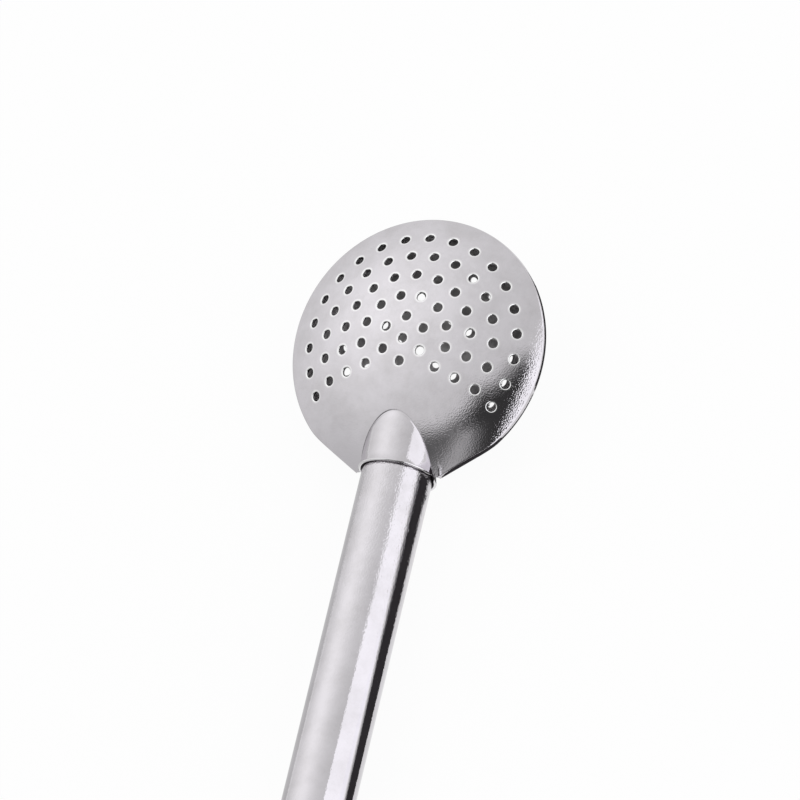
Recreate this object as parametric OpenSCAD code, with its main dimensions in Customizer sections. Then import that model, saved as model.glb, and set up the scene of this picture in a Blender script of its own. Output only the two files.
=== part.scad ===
// Bombilla: a straw for mate, with a round two-shell strainer that is pushed onto a straight
// stem, and a flattened mouthpiece. It lies along Y with the strainer at +Y and the strainer's
// front face up. Units are millimetres. The stem's axis is level.

/* [Strainer] */
// Outside diameter of the strainer
head_d = 30.4; // [27:0.2:36]
// How far the straight flanks beside the neck cut into the round outline
flank_cut = 0.25; // [0.05:0.05:0.5]
// Angle between the neck and the middle of each flank
flank_turn = 34; // [30:1:38]
// Height of the front dome above the seam plane
front_rise = 4.95; // [4.4:0.05:6]
// Height of the front dome's edge above the seam plane
edge_h = 0.45; // [0.3:0.05:0.8]
// Depth of the back bowl below the seam plane
back_depth = 5.7; // [4.6:0.1:6.4]
// Width of the flange round the back bowl
flange_w = 0.8; // [0.5:0.05:2.2]
// How far the front skirt reaches past the flange
skirt_lap = 0.1; // [0.05:0.05:0.4]
// Thickness of the stamped sheet
sheet = 0.35; // [0.3:0.01:0.5]
// Solder gap between soldered pieces
solder_gap = 0.03; // [0.02:0.01:0.08]

/* [Holes] */
// Diameter of the punched holes
hole_d = 1.05; // [0.8:0.05:1.5]
// Distance between neighbouring rings of the front shell's holes, along the sheet
hole_pitch = 2.6; // [2:0.02:2.7]
// The same for the back shell's holes
back_pitch = 2.64; // [2:0.02:2.7]
// Number of holes in each ring, from the inside out
ring_holes = [6, 10, 13, 16, 19];
// Angle between neighbouring holes in each ring
ring_step = [60, 27.9, 20.2, 15.9, 13.5];
// Turn of each ring from facing away from the neck
ring_turn = [30, 0, 0, 0, 0];
// Number of rings in the back shell, from the inside out
back_rings = 4; // [1:1:5]
// Turn of the back shell's holes against the front shell's
back_turn = -0.7; // [-5:0.1:5]

/* [Neck] */
// Angle between the strainer's seam plane and the stem
head_tilt = 9.6; // [6:0.2:12]
// Distance from the rim inwards to where the stem's axis meets the seam plane
neck_inset = 1.9; // [1.2:0.1:2.6]
// Reach of the front half of the sleeve from that point towards the mouth
front_sleeve = 1.4; // [1.3:0.1:5]
// Reach of the back half of the sleeve from that point towards the mouth
back_sleeve = 1.5; // [1.3:0.1:5]
// Widening of the sleeve's open end
flare = 0.2; // [0.05:0.05:0.4]
// Length of the widened end
flare_len = 1.2; // [0.6:0.1:1.3]
// Clearance between the stem's inner end and the front dome
end_gap = 0.3; // [0.2:0.05:1]
// Radius of the rounded heel behind the stem's inner end
heel_r = 7; // [6.4:0.1:7.4]
// How far the heel stands below the sleeve
heel_drop = 0.15; // [0.05:0.05:0.4]

/* [Stem] */
// Outside diameter of the stem
tube_d = 8; // [7.6:0.1:8.4]
// Wall of the stem
tube_wall = 0.5; // [0.3:0.05:0.8]
// Length of stem between the sleeve and the mouthpiece
stem_len = 116; // [80:1:160]
// How much the stem's seat in the sleeve narrows to its inner end, in radius
seat_taper = 0.15; // [0.1:0.01:0.25]
// How far the seat shows outside the sleeve
seat_lead = 0.3; // [0.1:0.1:1]

/* [Mouthpiece] */
// Length of the mouthpiece outside the stem
mouth_len = 24; // [16:1:36]
// Width of the mouthpiece at its root
mouth_w = 7.8; // [7.2:0.1:7.9]
// Width of the mouthpiece at its tip
mouth_tip_w = 7.2; // [6.8:0.1:7.6]
// Thickness of the mouthpiece at its tip
mouth_t = 3.4; // [3:0.1:5]
// Wall above and below the slot at the tip
mouth_wall = 0.5; // [0.4:0.05:0.8]
// Length of the spigot inside the stem
spigot_len = 10; // [5:0.5:16]
// Wall of the spigot
spigot_wall = 0.5; // [0.4:0.05:0.8]

/* [Hidden] */
$fn = 96;
steel = [0.78, 0.78, 0.79];
bright_steel = [0.84, 0.84, 0.85];
past = 1;

head_r = head_d / 2;
tube_r = tube_d / 2;
bore_r = tube_r - tube_wall;
seat_r = tube_r - seat_taper;
sleeve_r = tube_r + sheet;
spigot_r = bore_r - solder_gap;
passage_r = spigot_r - spigot_wall;

// Radius of the sphere whose cap has this rise over this base radius
function cap_radius(base_r, rise) = (base_r * base_r + rise * rise) / (2 * rise);

dome_r = cap_radius(head_r, front_rise - edge_h);
dome_z = front_rise - dome_r;
cavity_r = head_r - sheet;
flange_top = dome_z + sqrt(pow(dome_r - sheet, 2) - pow(cavity_r, 2)) - solder_gap;
flange_bottom = flange_top - sheet;
skirt_bottom = flange_bottom - skirt_lap;
flange_r = cavity_r - solder_gap;
bowl_r = cap_radius(flange_r - flange_w, back_depth + flange_bottom);
bowl_z = bowl_r - back_depth;

// Places in the stem's own frame: Y along its axis, and 0 where that meets the seam plane
neck_offset = head_r - neck_inset;
dome_y = neck_offset * cos(head_tilt) - dome_z * sin(head_tilt);
dome_h = neck_offset * sin(head_tilt) + dome_z * cos(head_tilt);
tube_end = dome_y - sqrt(pow(dome_r - sheet - end_gap, 2) - pow(seat_r - dome_h, 2));
seat_start = -max(front_sleeve, back_sleeve) - seat_lead;
mouth_root = -front_sleeve - stem_len;
mouth_tip = mouth_root - mouth_len;
head_end = (neck_offset + head_r) * cos(head_tilt) - skirt_bottom * sin(head_tilt);
axis_h = sleeve_r + heel_drop;
mid_y = (head_end + mouth_tip) / 2;

// Stands the part on the ground with its box centred on the origin
module at_rest() {
    translate([0, -mid_y, axis_h]) children();
}

// Strainer's frame: its seam plane is XY and its centre is the origin
module in_head() {
    rotate([head_tilt, 0, 0]) translate([0, neck_offset, 0]) children();
}

// Round bar along Y from one place to another, with a radius at each end
module bar(from, to, r_from, r_to) {
    translate([0, from, 0]) rotate([-90, 0, 0]) cylinder(h = to - from, r1 = r_from, r2 = r_to);
}

// Solid sleeve round the stem, with its flared end this far towards the mouth
module sleeve(r, reach) {
    bar(-reach, tube_end, r, r);
    bar(-reach, flare_len - reach, r + flare, r);
}

// Bore of the sleeve, open at both ends
module sleeve_bore(reach) {
    bar(-reach - past, tube_end + past, tube_r, tube_r);
    bar(-reach - past, flare_len - reach, tube_r + flare * (flare_len + past) / flare_len, tube_r);
}

// Everything above or below a plane parallel to the seam
module above(z) {
    in_head() translate([-head_d, -head_d, z]) cube([2 * head_d, 2 * head_d, head_d]);
}

module below(z) {
    in_head() translate([-head_d, -head_d, z - head_d]) cube([2 * head_d, 2 * head_d, head_d]);
}

// Everything on the head's side of one flank, drawn in by an inset
module behind_flank(turn, inset) {
    rotate([0, 0, turn]) translate([-head_d, flank_cut + inset - head_r, -head_d])
        cube([2 * head_d, 2 * head_d, 2 * head_d]);
}

// Strainer's outline, drawn in by an inset: a circle with straight flanks that run on past it to the sleeve's end
module rim(inset, from, to) {
    shoulder_w = (head_r - flank_cut) * sin(flank_turn);
    intersection() {
        in_head() intersection() {
            union() {
                translate([0, 0, from]) cylinder(r = head_r - inset, h = to - from);
                translate([-shoulder_w, -head_d, from]) cube([2 * shoulder_w, head_d, to - from]);
            }
            behind_flank(flank_turn, inset);
            behind_flank(-flank_turn, inset);
        }
        translate([-head_d, inset - front_sleeve, -head_d]) cube([2 * head_d, 2 * head_d, 2 * head_d]);
    }
}

// Front dome with its skirt, solid, drawn in by an inset and reaching down to z
module dome(inset, z) {
    intersection() {
        in_head() translate([0, 0, dome_z]) sphere(r = dome_r - inset);
        rim(inset, z, front_rise + past);
    }
}

// Back bowl, solid, drawn in by an inset
module bowl(inset) {
    in_head() translate([0, 0, bowl_z]) sphere(r = bowl_r - inset);
}

// Rounded heel under the stem's inner end, solid, drawn in by an inset
module heel(inset) {
    translate([0, tube_end, heel_r - axis_h]) sphere(r = heel_r - inset);
}

// One punch pin, square to a dome of this radius whose centre is at the origin
module punch(r, polar, azimuth) {
    rotate([0, polar, azimuth]) translate([0, 0, r - sheet - past])
        cylinder(d = hole_d, h = sheet + 2 * past);
}

// Rings of holes at this pitch along the sheet, open towards the neck
module holes(r, rings, pitch) {
    punch(r, 0, 0);
    for (ring = [0 : rings - 1])
        for (i = [0 : ring_holes[ring] - 1])
            punch(r, (ring + 1) * pitch / r * 180 / PI,
                  90 + ring_turn[ring] + (i - (ring_holes[ring] - 1) / 2) * ring_step[ring]);
}

module front_shell() {
    color(steel) at_rest() difference() {
        union() {
            dome(0, skirt_bottom);
            intersection() {
                sleeve(sleeve_r, front_sleeve);
                above(flange_top + solder_gap);
            }
        }
        dome(sheet, skirt_bottom - past);
        sleeve_bore(front_sleeve);
        intersection() {
            sleeve(sleeve_r + solder_gap, back_sleeve);
            below(flange_top + solder_gap);
        }
        in_head() translate([0, 0, dome_z]) holes(dome_r, len(ring_holes), hole_pitch);
    }
}

module back_shell() {
    color(steel) at_rest() difference() {
        intersection() {
            union() {
                bowl(0);
                heel(0);
                sleeve(sleeve_r, back_sleeve);
                rim(head_r - flange_r, flange_bottom, flange_top + past);
            }
            below(flange_top);
        }
        bowl(sheet);
        heel(sheet);
        sleeve_bore(back_sleeve);
        in_head() translate([0, 0, bowl_z]) rotate([0, 0, back_turn]) mirror([0, 0, 1])
            holes(bowl_r, back_rings, back_pitch);
    }
}

// Straight tube with a tapered seat, turned about its axis
module stem_tube() {
    color(bright_steel) at_rest() rotate([-90, 0, 0]) rotate_extrude()
        polygon([[bore_r, mouth_root], [tube_r, mouth_root], [tube_r, seat_start], [seat_r, tube_end],
                 [bore_r, tube_end]]);
}

// Wedge that narrows along the mouthpiece to this half thickness at the tip
module wedge(root_half, tip_half, to) {
    slope = (root_half - tip_half) / mouth_len;
    end_half = tip_half - slope * past;
    rotate([90, 0, 90]) linear_extrude(height = tube_d + 2 * past, center = true)
        polygon([[to, root_half], [to, -root_half], [mouth_root, -root_half],
                 [mouth_tip - past, -end_half], [mouth_tip - past, end_half], [mouth_root, root_half]]);
}

module mouthpiece() {
    spigot_end = mouth_root + spigot_len;
    color(bright_steel) at_rest() difference() {
        union() {
            intersection() {
                bar(mouth_tip, mouth_root, mouth_tip_w / 2, mouth_w / 2);
                wedge(tube_r + mouth_wall, mouth_t / 2, mouth_root + past);
            }
            bar(mouth_root - past, spigot_end, spigot_r, spigot_r);
        }
        intersection() {
            bar(mouth_tip - past, spigot_end + past, passage_r, passage_r);
            wedge(tube_r, mouth_t / 2 - mouth_wall, spigot_end + 2 * past);
        }
    }
}

front_shell();
back_shell();
stem_tube();
mouthpiece();
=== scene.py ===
"""Looks of a steel bombilla: a perforated two-shell strainer on a straight stem, with a flat mouthpiece.

Shapes are worked out in millimetres and put into the meshes in metres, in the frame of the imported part.
The stem frame has Y along the stem and its origin where the stem's axis meets the strainer's seam plane.
The head frame has the seam plane as XY, and its origin at the strainer's centre.
"""

import math

import bpy
import numpy as np
from mathutils import Matrix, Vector
from mathutils.geometry import delaunay_2d_cdt


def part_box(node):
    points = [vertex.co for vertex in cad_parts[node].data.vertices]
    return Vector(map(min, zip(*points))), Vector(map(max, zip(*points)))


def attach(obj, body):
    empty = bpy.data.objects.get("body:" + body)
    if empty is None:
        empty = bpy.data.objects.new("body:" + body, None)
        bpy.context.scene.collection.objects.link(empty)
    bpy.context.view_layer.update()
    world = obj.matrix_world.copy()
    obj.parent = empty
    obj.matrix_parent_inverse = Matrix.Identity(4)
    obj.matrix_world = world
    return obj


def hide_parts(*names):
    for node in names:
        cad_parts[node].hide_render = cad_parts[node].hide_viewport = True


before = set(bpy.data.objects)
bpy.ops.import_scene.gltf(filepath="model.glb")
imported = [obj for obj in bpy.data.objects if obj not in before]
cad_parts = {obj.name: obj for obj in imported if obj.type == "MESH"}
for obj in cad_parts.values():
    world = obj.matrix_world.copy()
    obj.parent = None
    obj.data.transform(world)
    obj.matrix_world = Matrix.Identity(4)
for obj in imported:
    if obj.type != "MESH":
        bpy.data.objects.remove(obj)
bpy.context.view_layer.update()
MM = 0.001

# Sizes read from the frame
stem_low, stem_high = (np.array(corner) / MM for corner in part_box("stem_tube"))
front_low, front_high = (np.array(corner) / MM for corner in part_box("front_shell"))
mouth_low, mouth_high = (np.array(corner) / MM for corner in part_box("mouthpiece"))
TUBE_R = (stem_high[0] - stem_low[0]) / 2
AXIS_HEIGHT = (stem_high[2] + stem_low[2]) / 2
HEAD_R = (front_high[0] - front_low[0]) / 2
MOUTH_HALF_WIDTH = (mouth_high[0] - mouth_low[0]) / 2

# Strainer
FLANK_CUT = 0.25
FLANK_TURN = math.radians(34)
FRONT_RISE = 4.95
EDGE_HEIGHT = 0.45
BACK_DEPTH = 5.7
FLANGE_WIDTH = 0.8
SHEET = 0.35
SEAM_GAP = 0.03
SKIRT_LAP = 0.1

# Neck
HEAD_TILT = math.radians(9.6)
NECK_INSET = 1.9
FRONT_SLEEVE = 1.4
BACK_SLEEVE = 1.5
FLARE = 0.2
FLARE_LENGTH = 1.2
SLEEVE_RISE = 0.23
RISE_LENGTH = 6.0
HEEL_R = 7.0

# Holes
HOLE_R = 0.525
HOLE_PITCH = 2.6
BACK_PITCH = 2.64
RING_HOLES = (6, 10, 13, 16, 19)
RING_STEP = (60, 27.9, 20.2, 15.9, 13.5)
RING_TURN = (30, 0, 0, 0, 0)
BACK_RINGS = 4
BACK_TURN = -0.7
ROLL_R = 0.12
BURR_R = 0.04

# Stem and mouthpiece
TUBE_WALL = 0.5
TUBE_EDGE_R = 0.06
SEAT_LEAD = 0.3
SEAT_TAPER = 0.15
SPIGOT_LENGTH = 10.0
SPIGOT_WALL = 0.5
SPIGOT_BEVEL = 0.2
SPIGOT_FUNNEL = 0.15
SHOULDER_R = 0.08
MOUTH_THICKNESS = 3.4
MOUTH_TAPER = 0.3
MOUTH_WALL = 0.5
MOUTH_FULLNESS = 1.1

# Rounding and creases of the stamped sheet
RIM_BEND = 0.3
CREASE = 0.04
GROOVE_DEPTH = 0.042
GROOVE_WIDTH = 0.06
EDGE_BULGE = 0.12

# Fineness of the meshes: points round a loop, rows along a piece and steps of the grids
EDGE_POINTS = 720
HOLE_POINTS = 32
STEM_SIDES = 160
MOUTH_SIDES = 144
MOUTH_ROWS = 60
COARSE_STEP, MEDIUM_STEP, FINE_STEP, FINEST_STEP = 0.62, 0.22, 0.075, 0.045
EDGE_ROWS = np.append(np.arange(0.05, 0.7, 0.05), [0.8, 0.95])
GRID_REACH = 1.2 * HEAD_R
HOLE_ROOM = 1.15
NECK_REACH, NECK_TOP = 8.0, -3.0
SLEEVE_REACH = 5.6
LIP_ROOM = 0.3
SHOULDER_ROOM = 0.4

# Cosines between a sheet and its rays, and between neighbouring normals, that set which grid is used
SQUARE, STEEP, LEVEL = 0.995, 0.9, 0.99

# How far edges are painted bright, a painted highlight, from 0 to 1
RIM_HIGHLIGHT = 0.6
EDGE_HIGHLIGHT = 0.5

# Worked out from the sizes above
NECK_OFFSET = HEAD_R - NECK_INSET
CROSSING_Y = front_low[1] + FRONT_SLEEVE
SLEEVE_R = TUBE_R + SHEET
HOLE_RIM_R = HOLE_R + ROLL_R
HOLE_HALO_R = HOLE_R + 2.6 * ROLL_R
TUBE_END = stem_high[1] - CROSSING_Y
MOUTH_ROOT = stem_low[1] - CROSSING_Y
MOUTH_TIP = mouth_low[1] - CROSSING_Y


def cap_radius(base, rise):
    """Radius of the sphere whose cap has this rise over this base radius."""
    return (base * base + rise * rise) / (2 * rise)


DOME_R = cap_radius(HEAD_R, FRONT_RISE - EDGE_HEIGHT)
DOME_Z = FRONT_RISE - DOME_R
FLANGE_TOP = DOME_Z + math.sqrt((DOME_R - SHEET) ** 2 - (HEAD_R - SHEET) ** 2) - SEAM_GAP
FLANGE_BOTTOM = FLANGE_TOP - SHEET
SKIRT_BOTTOM = FLANGE_BOTTOM - SKIRT_LAP
FLANGE_R = HEAD_R - SHEET - SEAM_GAP
BOWL_R = cap_radius(FLANGE_R - FLANGE_WIDTH, BACK_DEPTH + FLANGE_BOTTOM)
BOWL_Z = BOWL_R - BACK_DEPTH


# Frames

def turn_to_stem(vectors):
    """Turn directions of the head frame into the stem frame: a tilt about X."""
    cos, sin = math.cos(HEAD_TILT), math.sin(HEAD_TILT)
    x, y, z = vectors.T
    return np.column_stack([x, y * cos - z * sin, y * sin + z * cos])


def head_to_stem(points):
    """Head frame to stem frame: shift the neck to the origin, then tilt."""
    return turn_to_stem(points + np.array([0, NECK_OFFSET, 0]))


def place_stem(points):
    """Stem frame in millimetres to the part's frame in metres."""
    return (points + np.array([0, CROSSING_Y, AXIS_HEIGHT])) * MM


# Meshes

def make_piece(name, points, normals, faces, marks, body, node, material):
    """Put points, faces and the shape's own normals into a smooth mesh, riding on a body in place of a node.

    Marks are values from 0 to 1 at the points, which the material reads.
    """
    mesh = bpy.data.meshes.new(name)
    mesh.from_pydata(points.tolist(), [], faces)
    mesh.shade_smooth()
    if normals is not None:
        mesh.normals_split_custom_set_from_vertices(normals.tolist())
    mesh.validate(clean_customdata=False)
    for mark, values in marks.items():
        store_values(mesh, mark, values)
    piece = bpy.data.objects.new(name, mesh)
    bpy.context.scene.collection.objects.link(piece)
    mesh.materials.append(material)
    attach(piece, body)
    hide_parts(node)


def store_values(mesh, name, values):
    """Store one number at each point of a mesh, for a material to read."""
    stored = mesh.attributes.new(name, "FLOAT", "POINT")
    stored.data.foreach_set("value", np.ravel(values).astype(np.float32))


def band(first, second):
    """Quads between closed loops of point numbers: each loop is a row of the one array and of the other."""
    following = np.roll(first, -1, axis=-1), np.roll(second, -1, axis=-1)
    return np.stack([first, following[0], following[1], second], axis=-1).reshape(-1, 4)


def unit(vectors):
    """Vectors at length one."""
    return vectors / np.linalg.norm(vectors, axis=-1, keepdims=True)


def ease(share):
    """Smooth step from 0 to 1."""
    share = np.clip(share, 0, 1)
    return share * share * (3 - 2 * share)


def smooth_max(a, b, width):
    """Larger of two values, with a change-over of this width: a parabola is added where they are close."""
    near = np.clip(width - np.abs(a - b), 0, None) / width
    return np.maximum(a, b) + near * near * width / 4


# Shapes of the stamped shells

def rim_reach(points, inset):
    """Distance from the head's axis to the rim, drawn in by an inset.

    The rim is a circle, and by the neck a straight flank on either side. The flank's distance is its nearest
    distance over the cosine of the turn from its nearest point.
    """
    turn = np.arctan2(np.abs(points[:, 0]), -points[:, 1])
    circle = np.full(len(points), HEAD_R - inset)
    apart = np.clip(turn - FLANK_TURN, -1.2, 1.2)
    flank = (HEAD_R - FLANK_CUT - inset) / np.cos(apart)
    return np.where(turn < FLANK_TURN, flank, -smooth_max(-flank, -circle, FLANK_CUT))


def hole_directions(radius, side, rings, pitch, turn):
    """Directions of the holes from the dome's centre: one on the pole, then rings open towards the neck."""
    polar, azimuth = [np.zeros(1)], [np.zeros(1)]
    for ring, count in enumerate(RING_HOLES[:rings]):
        row = np.arange(count) - (count - 1) / 2
        polar.append(np.full(count, (ring + 1) * pitch / radius))
        azimuth.append(np.radians(90 + turn + RING_TURN[ring] + row * RING_STEP[ring]))
    polar, azimuth = np.concatenate(polar), np.concatenate(azimuth)
    around = np.sin(polar)
    return np.column_stack([around * np.cos(azimuth), around * np.sin(azimuth), side * np.cos(polar)])


class Dome:
    """A stamped shell as a distance from its dome's centre along each ray.

    The sheet is laid flat as a map: a point's reach on the map is its arc length from the pole, and its
    azimuth stays.
    """

    def __init__(self, radius, centre_z, side):
        self.radius = radius
        self.centre = np.array([[0, 0, centre_z]])
        self.side = side
        self.eye = head_to_stem(self.centre)[0]

    def rays(self, flat):
        """Map to directions: the polar angle is reach over radius."""
        polar = np.hypot(flat[:, 0], flat[:, 1]) / self.radius
        across = np.sinc(polar / np.pi) / self.radius
        return np.column_stack([flat * across[:, None], self.side * np.cos(polar)])

    def flat(self, rays):
        """Directions to map: the inverse of rays."""
        polar = np.arccos(np.clip(self.side * rays[..., 2], -1, 1))
        azimuth = np.arctan2(rays[..., 1], rays[..., 0])
        reach = (self.radius * polar)[..., None]
        return reach * np.stack([np.cos(azimuth), np.sin(azimuth)], axis=-1)

    def sleeve_exit(self, rays, end, rise):
        """Distance at which rays leave the sleeve, or 0 where they miss it, and its place along the stem.

        The sleeve is a round bar that flares at its open end and swells by the rise towards the dome. Its
        radius there and the distance are worked out in turn until they agree.
        """
        ways = turn_to_stem(rays)
        square = ways[:, 0] ** 2 + ways[:, 2] ** 2
        along = self.eye[0] * ways[:, 0] + self.eye[2] * ways[:, 2]
        exit_at = np.zeros(len(rays))
        for _ in range(5):
            y = self.eye[1] + exit_at * ways[:, 1]
            radius = SLEEVE_R + FLARE * np.clip((end + FLARE_LENGTH - y) / FLARE_LENGTH, 0, 1) ** 2
            radius += rise * np.clip((y - end) / RISE_LENGTH, 0, 1) ** 2
            room = along ** 2 - square * (self.eye[0] ** 2 + self.eye[2] ** 2 - radius ** 2)
            exit_at = np.where(room > 0, (np.sqrt(np.clip(room, 0, None)) - along) / square, 0)
        return exit_at, self.eye[1] + exit_at * ways[:, 1]

    def points(self, flat):
        """Points of the outer face, in the head frame."""
        rays = self.rays(flat)
        return self.centre + self.distance(rays)[:, None] * rays

    def normals(self, flat):
        """Outward normals: the cross product of two short steps on the map."""
        step = 0.002
        across = self.points(flat + [step, 0]) - self.points(flat - [step, 0])
        up = self.points(flat + [0, step]) - self.points(flat - [0, step])
        return unit(np.cross(across, up)) * self.side


class FrontDome(Dome):
    """Front shell: a cap with a short straight skirt, and the front half of the sleeve raised out of it.

    The punch leaves a fine groove along the crease, which shows as a thin line.
    """

    def __init__(self):
        super().__init__(DOME_R, DOME_Z, 1)

    def distance(self, rays):
        """The nearer of the sphere and the skirt, or the sleeve where it is farther, less the groove."""
        skirt = rim_reach(rays, 0) / np.clip(np.hypot(rays[:, 0], rays[:, 1]), 1e-6, None)
        cap = -smooth_max(-np.full(len(rays), DOME_R), -skirt, RIM_BEND)
        sleeve, _ = self.sleeve_exit(rays, -FRONT_SLEEVE, SLEEVE_RISE)
        groove = GROOVE_DEPTH * np.exp(-((cap - sleeve) / GROOVE_WIDTH) ** 2)
        return smooth_max(cap, sleeve, CREASE) - groove

    def inside(self, flat):
        """Whether places on the map are on the sheet: above the skirt's edge, short of the sleeve's end."""
        points = self.points(flat)
        stem = head_to_stem(points)
        return (points[:, 2] > SKIRT_BOTTOM + EDGE_BULGE) & (stem[:, 1] > EDGE_BULGE - FRONT_SLEEVE)


class BackDome(Dome):
    """Back shell: a bowl with a flat flange, the back half of the sleeve, and a heel behind the stem."""

    def __init__(self):
        super().__init__(BOWL_R, BOWL_Z, -1)
        self.heel = np.array([0, TUBE_END, HEEL_R - AXIS_HEIGHT]) - self.eye

    def bowl_and_neck(self, rays):
        """Distances to the bowl with its flange, and to the sleeve with its heel, which is a ball."""
        flange = (BOWL_Z - FLANGE_BOTTOM) / np.clip(-rays[:, 2], 1e-6, None)
        bowl = smooth_max(np.full(len(rays), BOWL_R), flange, CREASE)
        along = turn_to_stem(rays) @ self.heel
        room = along ** 2 - self.heel @ self.heel + HEEL_R ** 2
        heel = np.where(room > 0, along + np.sqrt(np.clip(room, 0, None)), 0)
        sleeve, y = self.sleeve_exit(rays, -BACK_SLEEVE, 0)
        sleeve = np.where(y < TUBE_END, sleeve, 0)
        return bowl, smooth_max(heel, sleeve, CREASE)

    def distance(self, rays):
        """The farther of the bowl and the neck."""
        bowl, neck = self.bowl_and_neck(rays)
        return smooth_max(bowl, neck, CREASE)

    def inside(self, flat):
        """Whether places on the map lie on the sheet: within the flange's rim, or on the sleeve."""
        points = self.points(flat)
        bowl, neck = self.bowl_and_neck(self.rays(flat))
        stem = head_to_stem(points)
        on_sleeve = (points[:, 2] < FLANGE_TOP - EDGE_BULGE) & (stem[:, 1] > EDGE_BULGE - BACK_SLEEVE)
        inset = HEAD_R - FLANGE_R
        on_bowl = np.hypot(points[:, 0], points[:, 1]) < rim_reach(points, inset) - EDGE_BULGE
        on_bowl &= stem[:, 1] > inset + EDGE_BULGE - FRONT_SLEEVE
        return np.where(neck > bowl, on_sleeve, on_bowl)


# Meshes of the stamped shells

def outline(dome):
    """Edge of the sheet on the map: for each azimuth, the reach at which it ends, by halving the interval.

    The azimuths lie closer together by the neck.
    """
    turn = np.linspace(0, 2 * np.pi, EDGE_POINTS, endpoint=False)
    azimuth = turn + 0.45 * np.cos(turn)
    way = np.column_stack([np.cos(azimuth), np.sin(azimuth)])
    near, far = np.full(EDGE_POINTS, 8.0), np.full(EDGE_POINTS, 1.25 * HEAD_R)
    for _ in range(40):
        middle = (near + far) / 2
        inside = dome.inside(way * middle[:, None])
        near = np.where(inside, middle, near)
        far = np.where(inside, far, middle)
    return way, near


def triangular_grid(reach, pitch):
    """Points of a triangular grid over a square of half width reach."""
    rows = np.arange(-reach, reach, pitch * math.sqrt(0.75))
    columns = np.arange(-reach, reach, pitch)
    x, y = np.meshgrid(columns, rows)
    x = x + pitch / 2 * (np.arange(len(rows)) % 2)[:, None]
    return np.column_stack([x.ravel(), y.ravel()])


def map_points(dome, way, reach, holes):
    """Points that the sheet's map is cut into.

    They are rows along its edge, and grids that are finer where the sheet is steep to its rays or bends.
    """
    rows = [way * (reach - depth)[:, None] for depth in EDGE_ROWS]
    edge_turn = np.arctan2(way[:, 1], way[:, 0])
    order = np.argsort(edge_turn)

    def room(points):
        """Distance along the ray to the sheet's edge."""
        turn = np.arctan2(points[:, 1], points[:, 0])
        limit = np.interp(turn, edge_turn[order], reach[order], period=2 * np.pi)
        return limit - np.hypot(points[:, 0], points[:, 1])

    def clear(points, gap):
        """Those of the points that keep clear of the sheet's edge by the gap, and of its holes."""
        points = points[room(points) > gap]
        apart = np.linalg.norm(points[:, None] - holes[None], axis=-1).min(axis=1)
        return points[apart > HOLE_ROOM]

    def neck_grid(pitch, gap):
        """Points of a grid by the neck, how square the sheet is to its rays there, and two masks.

        The masks say where the sheet is level, as its normal hardly turns within a short step, and where it
        is by the sleeve.
        """
        grid = triangular_grid(GRID_REACH, pitch)
        points = clear(grid[(np.abs(grid[:, 0]) < NECK_REACH) & (grid[:, 1] < NECK_TOP)], gap)
        up = dome.normals(points)
        square = (up * dome.rays(points)).sum(axis=1)
        steps = 0.1 * np.array([(1, 0), (-1, 0), (0, 1), (0, -1)])
        level = np.min([(up * dome.normals(points + step)).sum(axis=1) for step in steps], axis=0)
        by_sleeve = (np.abs(points[:, 0]) < SLEEVE_REACH) | (room(points) > 1.0)
        return points, square, level > LEVEL, by_sleeve

    coarse = clear(triangular_grid(GRID_REACH, COARSE_STEP), 1.2)
    medium, square, level, _ = neck_grid(MEDIUM_STEP, 1.05)
    medium = medium[(square < SQUARE) & (square >= STEEP) & level]
    fine, square, level, by_sleeve = neck_grid(FINE_STEP, 0.04)
    fine = fine[by_sleeve & level & (square < STEEP)]
    finest, _, level, by_sleeve = neck_grid(FINEST_STEP, 0.04)
    finest = finest[by_sleeve & ~level]
    return np.concatenate(rows + [coarse, medium, fine, finest])


def hole_spokes(centres):
    """Directions square to each hole's axis, all the way round it."""
    around = np.linspace(0, 2 * np.pi, HOLE_POINTS, endpoint=False)
    first = unit(np.cross(centres, [0.0, 1.0, 0.0]))
    second = np.cross(centres, first)
    return np.cos(around)[:, None] * first[:, None] + np.sin(around)[:, None] * second[:, None]


def hole_circles(centres, spokes, angle):
    """Directions round each hole at this angle from its axis."""
    return math.cos(angle) * centres[:, None] + math.sin(angle) * spokes


def cut_map(dome, centres, spokes):
    """Triangulate the sheet's map between its edge and its holes.

    Gives the map's points, its triangles, and the numbers of the edge's points and of each hole's points.
    """
    way, reach = outline(dome)
    loops = dome.flat(hole_circles(centres, spokes, HOLE_RIM_R / dome.radius)).reshape(-1, 2)
    halo = dome.flat(hole_circles(centres, spokes, HOLE_HALO_R / dome.radius)[:, ::2]).reshape(-1, 2)
    filling = map_points(dome, way, reach, dome.flat(centres))
    flat = np.concatenate([way * reach[:, None], loops, halo, filling])

    edge = np.arange(EDGE_POINTS)
    rims = EDGE_POINTS + np.arange(len(loops)).reshape(-1, HOLE_POINTS)
    sides = [np.stack([loop, np.roll(loop, -1, axis=-1)], axis=-1).reshape(-1, 2) for loop in (edge, rims)]
    places, _, triangles, origins, _, _ = delaunay_2d_cdt(
        flat.tolist(), np.concatenate(sides).tolist(), [], 1, 1e-7)
    flat = np.array(places)
    number = np.array([group[0] for group in origins])
    where = np.zeros(number.max() + 1, int)
    where[number] = np.arange(len(number))
    edge, rims = where[edge], where[rims]
    triangles = np.array(triangles)[:, ::dome.side]

    # A triangle whose corners are all on one hole's rim fills that hole, and is left out
    hole = np.full(len(flat), -1)
    hole[rims] = np.arange(len(rims))[:, None]
    owner = hole[triangles]
    in_hole = (owner[:, 0] >= 0) & (owner == owner[:, :1]).all(axis=1)
    return flat, triangles[~in_hole], edge, rims


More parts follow.
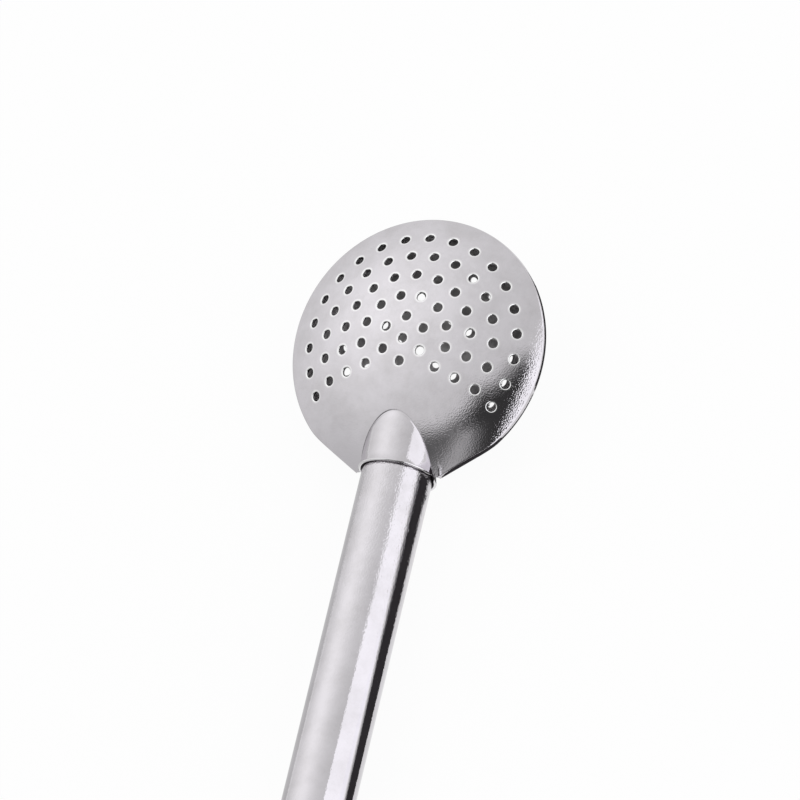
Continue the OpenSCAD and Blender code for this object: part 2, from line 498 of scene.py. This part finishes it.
class Sheet:
    """Points, normals, marks and faces of a stamped sheet, gathered part by part in the head frame."""

    def __init__(self):
        self.points, self.normals = [], []
        self.unpolished, self.painted_highlight = [], []
        self.faces = []
        self.count = 0

    def put(self, points, normals, unpolished, painted_highlight):
        """Take in an array of points with their normals and marks, and give back the points' numbers."""
        shape = points.shape[:-1]
        self.points.append(points.reshape(-1, 3))
        self.normals.append(normals.reshape(-1, 3))
        self.unpolished.append(np.broadcast_to(unpolished, shape).ravel())
        self.painted_highlight.append(np.broadcast_to(painted_highlight, shape).ravel())
        numbers = self.count + np.arange(math.prod(shape)).reshape(shape)
        self.count += numbers.size
        return numbers

    def join(self, first, second, order=1):
        """Join two rows of loops by quads."""
        self.faces += band(first, second)[:, ::order].tolist()


def round_edge(sheet, side, outer, up, first, last):
    """Rounded edge of the sheet: rows on a half ellipse from its outer face to its inner one."""
    along = unit(np.roll(outer, -1, axis=0) - np.roll(outer, 1, axis=0))
    outwards = unit(np.cross(along, up)) * side
    half = SHEET / 2
    for angle in np.radians([30, 60, 90, 120, 150]):
        cos, sin = math.cos(angle), math.sin(angle)
        points = outer + half * (cos - 1) * up + EDGE_BULGE * sin * outwards
        slope = cos / half * up + sin / EDGE_BULGE * outwards
        # The rounded edge carries the painted highlight
        row = sheet.put(points, unit(slope), 0, EDGE_HIGHLIGHT)
        sheet.join(row, first, side)
        first = row
    sheet.join(last, first, side)


def hole_walls(sheet, dome, centres, spokes, first, last):
    """Walls of the holes, a profile turned about each axis: a rolled edge, a straight wall and a burr."""
    rolled = np.radians([22.5, 45, 67.5, 90])
    burr = np.radians([0, 45, 90])
    reach = np.concatenate([HOLE_R + ROLL_R * (1 - np.sin(rolled)), HOLE_R + BURR_R * (1 - np.cos(burr))])
    depth = np.concatenate([ROLL_R * (1 - np.cos(rolled)), SHEET - BURR_R * (1 - np.sin(burr))])
    lean = np.concatenate([rolled, np.pi / 2 + burr])
    for far, deep, tilt in zip(reach, depth, lean):
        points = dome.centre + (dome.radius - deep) * hole_circles(centres, spokes, far / dome.radius)
        normals = math.cos(tilt) * centres[:, None] - math.sin(tilt) * spokes
        # The rolled edge of each hole carries the painted highlight
        row = sheet.put(points, normals, float(deep > SHEET / 2), float(deep < ROLL_R))
        sheet.join(first, row)
        first = row
    sheet.join(first, last)


def stamped_shell(name, dome, pattern, material):
    """A stamped and punched shell.

    Its outer face is the triangulated map put on the dome, and its inner face lies a sheet's thickness
    inside along the normals.
    """
    centres = hole_directions(dome.radius, dome.side, *pattern)
    spokes = hole_spokes(centres)
    flat, triangles, edge, rims = cut_map(dome, centres, spokes)

    outer, up = dome.points(flat), dome.normals(flat)
    painted_highlight = np.zeros(len(flat))
    # Painted highlight on the holes' rims
    painted_highlight[rims] = RIM_HIGHLIGHT
    sheet = Sheet()
    outside = sheet.put(outer, up, 0, painted_highlight)
    inside = sheet.put(outer - SHEET * up, -up, 1, 0)
    sheet.faces += outside[triangles].tolist() + inside[triangles[:, ::-1]].tolist()
    round_edge(sheet, dome.side, outer[edge], up[edge], edge, inside[edge])
    hole_walls(sheet, dome, centres, spokes, rims, inside[rims])

    points = place_stem(head_to_stem(np.concatenate(sheet.points)))
    normals = turn_to_stem(np.concatenate(sheet.normals))
    marks = {"unpolished": np.concatenate(sheet.unpolished), "painted_highlight": np.concatenate(sheet.painted_highlight)}
    make_piece(name + "_sheet", points, normals, sheet.faces, marks,
               "strainer", name, material)


# Stem and mouthpiece

def rounded_profile(corners, radius, steps):
    """Closed outline, clockwise, with rounded corners.

    Each corner becomes a parabola between the two sides, and its ends keep the sides' own normals.
    """
    corners = np.array(corners, float)
    before = unit(corners - np.roll(corners, 1, axis=0))
    after = unit(np.roll(corners, -1, axis=0) - corners)
    share = np.linspace(0, 1, steps)[None, :, None]
    bend = np.arctan2(before[:, 0] * after[:, 1] - before[:, 1] * after[:, 0], (before * after).sum(axis=1))
    cut = (radius * np.tan(np.abs(bend) / 2))[:, None, None]
    start = corners[:, None] - cut * before[:, None]
    end = corners[:, None] + cut * after[:, None]
    points = (1 - share) ** 2 * start + 2 * share * (1 - share) * corners[:, None] + share ** 2 * end
    heading = unit((1 - share) * before[:, None] + share * after[:, None])
    outward = np.stack([-heading[..., 1], heading[..., 0]], axis=-1)
    return points.reshape(-1, 2), outward.reshape(-1, 2)


def turned(profile):
    """Turn (along, out) pairs about the stem's axis: X and Z are out times an angle's sine and cosine."""
    angle = np.linspace(0, 2 * np.pi, STEM_SIDES, endpoint=False)
    along, out = profile[:, :1], profile[:, 1:]
    return np.stack([out * np.sin(angle), along + 0 * angle, out * np.cos(angle)], axis=-1)


def ring_faces(rings):
    """Quads over an array of rings of points, of which the last joins on to the first."""
    rows = np.arange(rings.size // 3).reshape(rings.shape[:-1])
    return band(rows, np.roll(rows, -1, axis=0)).tolist()


def stem_tube(material):
    """Drawn tube: a closed wall profile of (along, radius) with a tapered seat, turned about the axis."""
    bore = TUBE_R - TUBE_WALL
    seat_start = -BACK_SLEEVE - SEAT_LEAD
    wall = [(MOUTH_ROOT, TUBE_R), (seat_start, TUBE_R), (TUBE_END, TUBE_R - SEAT_TAPER), (TUBE_END, bore),
            (MOUTH_ROOT, bore)]
    profile, outward = rounded_profile(wall, TUBE_EDGE_R, 5)
    rings = turned(profile)
    in_bore = profile[:, 1] < bore + 0.1
    marks = {"unpolished": np.repeat(in_bore, STEM_SIDES)}
    make_piece("stem_drawn_tube", place_stem(rings.reshape(-1, 3)), turned(outward).reshape(-1, 3),
               ring_faces(rings), marks, "stem", "stem_tube", material)


def mouthpiece(material):
    """Flattened mouth end: rings along the stem, from the spigot over the lip and back through the passage.

    A ring's half thickness falls from its half width to the lip's by a smooth step, while its outline goes
    from a circle to a fuller oval, a superellipse.
    """
    spigot = TUBE_R - TUBE_WALL - SEAM_GAP
    passage = spigot - SPIGOT_WALL
    lip = MOUTH_WALL / 2
    lip_start = MOUTH_TIP + lip + LIP_ROOM
    spigot_end = MOUTH_ROOT + SPIGOT_LENGTH
    over_shoulder = np.radians(np.linspace(0, 90, 5))
    over_lip = np.radians(np.linspace(0, 180, 13))

    # Each run of rings: its wall, its places along the stem, and how far it stands out from that wall
    on_spigot, on_outside, on_passage, on_funnel = range(4)
    runs = [
        (on_spigot, np.array([spigot_end - SPIGOT_BEVEL, MOUTH_ROOT + SPIGOT_BEVEL, MOUTH_ROOT]), 0),
        (on_outside, MOUTH_ROOT + SHOULDER_R * (np.cos(over_shoulder) - 1),
         SHOULDER_R * (np.sin(over_shoulder) - 1)),
        (on_outside, np.linspace(MOUTH_ROOT - SHOULDER_ROOM, lip_start, MOUTH_ROWS), 0),
        (on_outside, MOUTH_TIP + lip * (1 - np.sin(over_lip)), lip * (np.cos(over_lip) - 1)),
        (on_passage, np.linspace(lip_start, MOUTH_ROOT, MOUTH_ROWS), 0),
        (on_passage, np.array([spigot_end - SPIGOT_BEVEL]), 0),
        (on_funnel, np.array([spigot_end]), 0),
    ]
    wall = np.concatenate([np.full(len(places), side) for side, places, _ in runs])
    y = np.concatenate([places for _, places, _ in runs])
    proud = np.concatenate([np.broadcast_to(step, len(places)) for _, places, step in runs])

    share = (MOUTH_ROOT - y) / (MOUTH_ROOT - MOUTH_TIP)
    flatness = ease(share)
    taper = MOUTH_TAPER * np.clip(share, 0, 1)
    lip_half = MOUTH_THICKNESS / 2
    width = np.choose(wall, [spigot, MOUTH_HALF_WIDTH - taper, passage - taper / 2, passage + SPIGOT_FUNNEL])
    tip_half = np.choose(wall, [spigot, lip_half, lip_half - MOUTH_WALL, passage])
    half = width + (tip_half - width) * flatness + proud
    width = width + proud
    power = (2 / (2 + MOUTH_FULLNESS * flatness))[:, None]

    angle = np.linspace(0, 2 * np.pi, MOUTH_SIDES, endpoint=False)
    cos, sin = np.cos(angle), np.sin(angle)
    x = width[:, None] * np.sign(cos) * np.abs(cos) ** power
    z = half[:, None] * np.sign(sin) * np.abs(sin) ** power
    rings = np.stack([x, y[:, None] + 0 * angle, z], axis=-1)
    make_piece("mouth_end", place_stem(rings.reshape(-1, 3)), None, ring_faces(rings), {},
               "stem", "mouthpiece", material)


# Materials

# Sockets of a colour mix, which go by number
FACTOR, FIRST, SECOND, MIXED = 0, 6, 7, 2


def linear(code):
    """A hex colour, such as C8C8CA, as linear RGBA."""
    channels = np.array([int(code[k:k + 2], 16) for k in (0, 2, 4)]) / 255
    light = np.where(channels <= 0.04045, channels / 12.92, ((channels + 0.055) / 1.055) ** 2.4)
    return (*light.tolist(), 1.0)


def add(tree, kind, settings=(), links=()):
    """Add a node of this kind with its settings, and link other nodes' outputs to its inputs."""
    node = tree.nodes.new(kind)
    for name, value in dict(settings).items():
        if isinstance(name, str) and hasattr(node, name):
            setattr(node, name, value)
        else:
            node.inputs[name].default_value = value
    for name, source in dict(links).items():
        tree.links.new(source, node.inputs[name])
    return node


def new_material(name):
    """A material with no nodes."""
    material = bpy.data.materials.new(name)
    material.use_nodes = True
    material.node_tree.nodes.clear()
    return material, material.node_tree


def per_metre(size):
    """Noise scale whose features are about this many millimetres across."""
    return 1 / (size * MM)


def polished_steel(name, grain_size, grain_depth, sanded=None):
    """Stainless steel, formed and then buffed: a bright mirror whose fine grain breaks up sharp reflections.

    Punched and cut edges are painted brighter, a painted highlight. Inside, where no wheel reaches, the
    sheet stays grey and dull.
    The grain is drawn coarser than it is, because it would be too fine to show. Sanded gives two places
    along the stem, in millimetres: the grain grows from the first to the second.
    """
    material, tree = new_material(name)
    place = add(tree, "ShaderNodeTexCoord").outputs["Object"]

    # Relief: shallow waves left by forming, and the grain left by sanding and buffing
    ripple = add(tree, "ShaderNodeTexNoise", {"Scale": per_metre(2.5), "Detail": 1.0}, {"Vector": place})
    grain = add(tree, "ShaderNodeTexNoise", {"Scale": per_metre(grain_size), "Detail": 0.0},
                {"Vector": place})
    waves = add(tree, "ShaderNodeBump", {"Strength": 1.0, "Distance": 0.006 * MM},
                {"Height": ripple.outputs["Fac"]})
    relief = add(tree, "ShaderNodeBump", {"Strength": 1.0, "Distance": grain_depth * MM},
                 {"Height": grain.outputs["Fac"], "Normal": waves.outputs["Normal"]})
    if sanded:
        along = add(tree, "ShaderNodeSeparateXYZ", links={"Vector": place})
        growth = add(tree, "ShaderNodeMapRange",
                     {"From Min": sanded[0] * MM, "From Max": sanded[1] * MM, "To Min": 0.16},
                     {"Value": along.outputs["Y"]})
        tree.links.new(growth.outputs["Result"], relief.inputs["Strength"])

    # Colour: faint smudges, a painted highlight on the edges and a patchy grey inside
    smear = add(tree, "ShaderNodeTexNoise", {"Scale": per_metre(3.5), "Detail": 5.0, "Roughness": 0.65},
                {"Vector": place})
    smudge = add(tree, "ShaderNodeMapRange", {"From Min": 0.3, "From Max": 0.6},
                 {"Value": smear.outputs["Fac"]}).outputs["Result"]
    painted_highlight = add(tree, "ShaderNodeAttribute", {"attribute_name": "painted_highlight"}).outputs["Fac"]
    unpolished = add(tree, "ShaderNodeAttribute", {"attribute_name": "unpolished"}).outputs["Fac"]
    buffed = add(tree, "ShaderNodeMix",
                 {"data_type": "RGBA", FIRST: linear("C3C0C3"), SECOND: linear("CECBCF")}, {FACTOR: smudge})
    # Painted highlight: edges are mixed towards near white
    edged = add(tree, "ShaderNodeMix", {"data_type": "RGBA", SECOND: linear("F2F2F2")},
                {FACTOR: painted_highlight, FIRST: buffed.outputs[MIXED]})
    patchy = add(tree, "ShaderNodeMix",
                 {"data_type": "RGBA", FIRST: linear("8A8789"), SECOND: linear("DAD8D9")}, {FACTOR: smudge})
    colour = add(tree, "ShaderNodeMix", {"data_type": "RGBA"},
                 {FACTOR: unpolished, FIRST: edged.outputs[MIXED], SECOND: patchy.outputs[MIXED]})

    dull = add(tree, "ShaderNodeMapRange", {"To Min": 0.06, "To Max": 0.35}, {"Value": unpolished})
    shader = add(tree, "ShaderNodeBsdfPrincipled", {"Metallic": 1.0},
                 {"Base Color": colour.outputs[MIXED], "Roughness": dull.outputs["Result"],
                  "Normal": relief.outputs["Normal"]})
    add(tree, "ShaderNodeOutputMaterial", links={"Surface": shader.outputs["BSDF"]})
    return material


def glow(name, colour, strength):
    """Lit cloth or card with the same brightness all over."""
    material, tree = new_material(name)
    shader = add(tree, "ShaderNodeEmission", {"Color": linear(colour), "Strength": strength})
    add(tree, "ShaderNodeOutputMaterial", links={"Surface": shader.outputs["Emission"]})
    return material


def uneven_glow(name):
    """Lit cloth or card whose brightness is stored at its mesh's points."""
    material, tree = new_material(name)
    level = add(tree, "ShaderNodeAttribute", {"attribute_name": "light"})
    shader = add(tree, "ShaderNodeEmission", {"Color": linear("FFFFFF")}, {"Strength": level.outputs["Fac"]})
    add(tree, "ShaderNodeOutputMaterial", links={"Surface": shader.outputs["Emission"]})
    return material


def white_floor():
    """Matt white floor. To the camera and in reflections it is nearly plain white, with faint shadow."""
    material, tree = new_material("matt_white_floor")
    paths = add(tree, "ShaderNodeLightPath").outputs
    seen = add(tree, "ShaderNodeMath", {"operation": "MAXIMUM"},
               {0: paths["Is Camera Ray"], 1: paths["Is Glossy Ray"]})
    through = add(tree, "ShaderNodeMath", {"operation": "MAXIMUM"},
                  {0: seen.outputs[0], 1: paths["Is Transmission Ray"]})
    share = add(tree, "ShaderNodeMath", {"operation": "MULTIPLY", 1: 0.94}, {0: through.outputs[0]})
    matt = add(tree, "ShaderNodeBsdfDiffuse", {"Color": linear("F2F2F2")})
    white = add(tree, "ShaderNodeEmission", {"Color": linear("FFFFFF"), "Strength": 1.0})
    mix = add(tree, "ShaderNodeMixShader",
              links={0: share.outputs[0], 1: matt.outputs[0], 2: white.outputs[0]})
    add(tree, "ShaderNodeOutputMaterial", links={"Surface": mix.outputs[0]})
    return material


# Studio

def stage_mesh(name, points, faces, material):
    """A stage object from points in millimetres."""
    mesh = bpy.data.meshes.new(name)
    mesh.from_pydata((points * MM).tolist(), [], faces)
    mesh.materials.append(material)
    stage = bpy.data.objects.new(name, mesh)
    bpy.context.scene.collection.objects.link(stage)
    return stage


def plane(name, centre, across, up, material):
    """A flat card from its centre and its two half sides."""
    centre, across, up = (np.array(v, float) for v in (centre, across, up))
    corners = [centre - across - up, centre + across - up, centre + across + up, centre - across + up]
    card = stage_mesh(name, np.array(corners), [(0, 1, 2, 3)], material)
    return card


def only_reflected(card):
    """Make a card show only in reflections."""
    card.visible_camera = False
    card.visible_diffuse = False
    card.visible_shadow = False
    card.visible_transmission = False


def fade_card(name, centre, across, up, material):
    """A card that shows only in reflections and fades upwards from dark to lit."""
    card = plane(name, centre, across, up, material)
    dark, lit = 0.04, 1.45
    store_values(card.data, "light", [dark, dark, lit, lit])
    only_reflected(card)


def light_tent():
    """White tent: a half ball with a brightness at each point, by its angles from the zenith and from +X.

    It is brightest at the back left and falls away as a bell curve of the angle. In front stands a dark
    screen, tallest on the camera's side, with a paler gap in it.
    """
    radius = 3000
    zenith, azimuth = np.meshgrid(np.linspace(0, 91, 92), np.arange(-180.0, 180.0), indexing="ij")
    along, around = np.radians(zenith), np.radians(azimuth)
    ways = np.stack([np.sin(along) * np.cos(around), np.sin(along) * np.sin(around), np.cos(along)], axis=-1)

    tilt, turn = np.radians([42, 150])
    brightest = np.array([np.sin(tilt) * np.cos(turn), np.sin(tilt) * np.sin(turn), np.cos(tilt)])
    apart = np.degrees(np.arccos(np.clip(ways @ brightest, -1, 1)))
    light = 0.83 + 0.47 * np.exp(-(apart / 38) ** 2)
    light -= 0.15 * ease((zenith - 45) / 25) * np.exp(-((azimuth + 140) / 25) ** 2)

    top = 22 + 0.17 * np.clip(azimuth + 45, 0, None) + 0.26 * np.clip(-45 - azimuth, 0, None)
    screen = ease((zenith - top + 6) / 12) * ease((azimuth + 125) / 17) * ease((20 - azimuth) / 20)
    gap = np.exp(-((azimuth + 74 + 0.9 * (zenith - 40)) / 9) ** 2) * ease((zenith - 33) / 6)
    dark = 0.05 + 0.1 * ease((-70 - azimuth) / 18) + 0.42 * gap
    light = light + (dark - light) * screen

    rows = np.arange(light.size).reshape(light.shape)
    faces = band(rows[:-1], rows[1:]).tolist()
    tent = stage_mesh("light_tent", radius * ways.reshape(-1, 3), faces, uneven_glow("lit_tent_cloth"))
    store_values(tent.data, "light", light)
    tent.visible_camera = False


def studio():
    """White floor under a light tent, a softbox on the right, and cards seen only in reflections, the dark
    and grey ones painting shade on the metal's sides.
    """
    world = bpy.data.worlds.new("surround")
    bpy.context.scene.world = world
    world.use_nodes = True
    tree = world.node_tree
    tree.nodes.clear()
    white = add(tree, "ShaderNodeBackground", {"Color": linear("FFFFFF"), "Strength": 1.0})
    add(tree, "ShaderNodeOutputWorld", links={"Surface": white.outputs[0]})

    plane("floor", (0, 0, -0.12), (6000, 0, 0), (0, 6000, 0), white_floor())
    light_tent()
    cloth = glow("softbox_cloth", "FCFCFF", 1.5)
    softbox = plane("right_light", (931, 103, 600), (157, 1207, 0), (0, 0, 600), cloth)
    softbox.visible_camera = False

    # Cards, each by its centre and its two half sides in millimetres
    # The dark and grey cards are painted shade: they show only in reflections, standing for the floor's
    # shade beside the part
    dark = glow("dark_card", "3A383A", 1.0)
    lit = glow("lit_card", "FAFAFF", 1.48)
    grey = glow("grey_card", "D8D8D8", 1.0)
    cards = {
        "stem_card": ((5, -16.95, 4.06), (0, 72.95, 0), (0, 0, 1.14), dark),
        "neck_card": ((5, 35.5, 5.13), (0, 20.5, 0.44), (0, 0, 0.5), dark),
        "head_card": ((18.5, 79, 0.1), (6.5, 0, 0), (0, 12, 0), dark),
        "flank_card": ((11.15, 54.6, 2.3), (4.25, 2.6, 0), (1.7, -2.6, 2.2), dark),
        "rim_card": ((15.4, 62, 0.1), (1.7, 4.6, 0), (-0.9, 0.3, 0), dark),
        "stem_light": ((5.2, -17.4, 5.6), (0, 72.5, 0), (0, 0, 1.1), lit),
        "left_card": ((-34, 0, 0.1), (27, 0, 0), (0, 130, 0), grey),
    }
    for name, card in cards.items():
        only_reflected(plane(name, *card))
    fading = uneven_glow("fading_card")
    fade_card("stem_fade", (5, -37.45, 5.45), (0, 52.45, 0), (0, 0, 0.25), fading)
    fade_card("neck_fade", (5, 35.5, 5.96), (0, 20.5, 0.51), (0, 0, 0.33), fading)


def camera():
    """Long lens at the photograph's place, turned about its own axis until the stem leans as it does."""
    target = np.array([-1.59, 64.24, 5.10])
    distance = 680.0
    azimuth, elevation, roll = np.radians([47.15, 56.64, 38.6])
    outwards = math.cos(elevation)
    back = np.array([math.sin(azimuth) * outwards, -math.cos(azimuth) * outwards, math.sin(elevation)])
    level = np.array([math.cos(azimuth), math.sin(azimuth), 0])
    upright = np.cross(back, level)
    up = math.cos(roll) * upright + math.sin(roll) * level
    right = np.cross(up, back)

    lens = bpy.data.cameras.new("camera")
    lens.lens = 273.6
    lens.sensor_width = 36
    lens.clip_start = 0.05
    lens.clip_end = 50
    eye = bpy.data.objects.new("camera", lens)
    bpy.context.scene.collection.objects.link(eye)
    turn = Matrix(np.column_stack([right, up, back]).tolist()).to_4x4()
    eye.matrix_world = Matrix.Translation(((target + distance * back) * MM).tolist()) @ turn
    bpy.context.scene.camera = eye


def build():
    """The four pieces, the studio and the camera."""
    stamped = polished_steel("stamped_stainless_steel", 0.14, 0.0068)
    drawn = polished_steel("drawn_stainless_steel", 0.17, 0.034, (28, 54))
    stamped_shell("front_shell", FrontDome(), (len(RING_HOLES), HOLE_PITCH, 0), stamped)
    stamped_shell("back_shell", BackDome(), (BACK_RINGS, BACK_PITCH, BACK_TURN), stamped)
    stem_tube(drawn)
    mouthpiece(drawn)
    studio()
    camera()
    bpy.context.scene.view_settings.view_transform = "Standard"


build()
